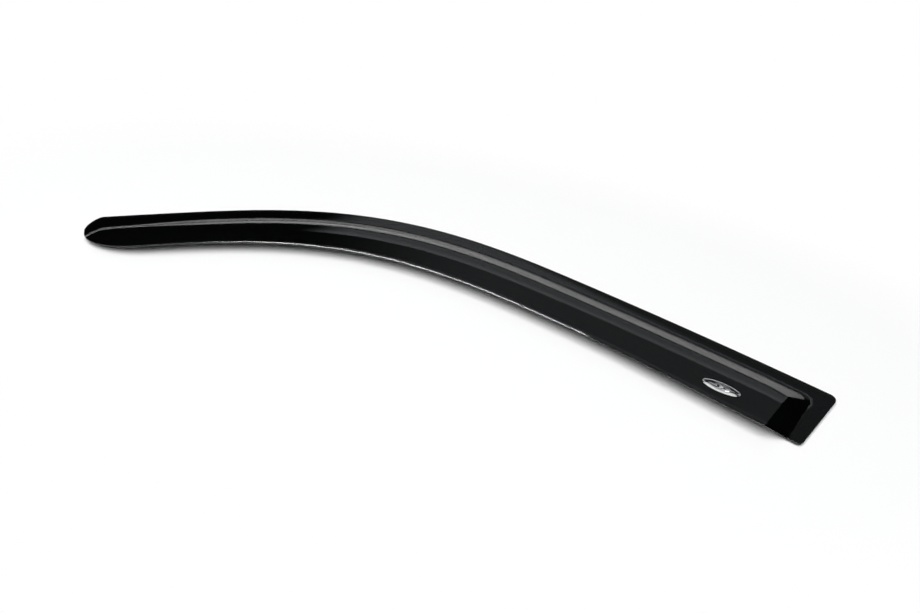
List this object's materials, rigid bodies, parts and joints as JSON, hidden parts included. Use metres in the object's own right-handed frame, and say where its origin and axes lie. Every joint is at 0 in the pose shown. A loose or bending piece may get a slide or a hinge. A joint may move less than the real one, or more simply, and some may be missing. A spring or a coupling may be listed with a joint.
{
  "type": "window rain deflector",
  "caption": "Smoked acrylic rain deflector for a left front door window: flat taped flange, formed step, crowned face with a free lower edge, closed rear end and pointed nose.",
  "frame": {"origin": "on the roof tape's mounting face, on its middle line, 20 mm from the sharp rear corner of the outer edge", "axes": "+X along the roof towards the rear of the car, +Y up the door towards the roof, +Z away from the glass"},
  "size_m": [0.9302, 0.3035, 0.0184],
  "materials": {
    "smoked_acrylic": "high gloss, see-through smoke tint",
    "label_vinyl": "printed, satin",
    "clear_resin": "clear, high gloss",
    "foam_tape": "matt foam",
    "liner_film": "smooth film"
  },
  "bodies": {
    "root": {"visor": "smoked_acrylic", "badge_label": "label_vinyl", "badge_dome": "clear_resin", "tape_roof": "foam_tape", "tape_pillar": "foam_tape", "tape_rear": "foam_tape", "liner_roof": "liner_film", "liner_pillar": "liner_film", "liner_rear": "liner_film"}
  },
  "joints": []
}
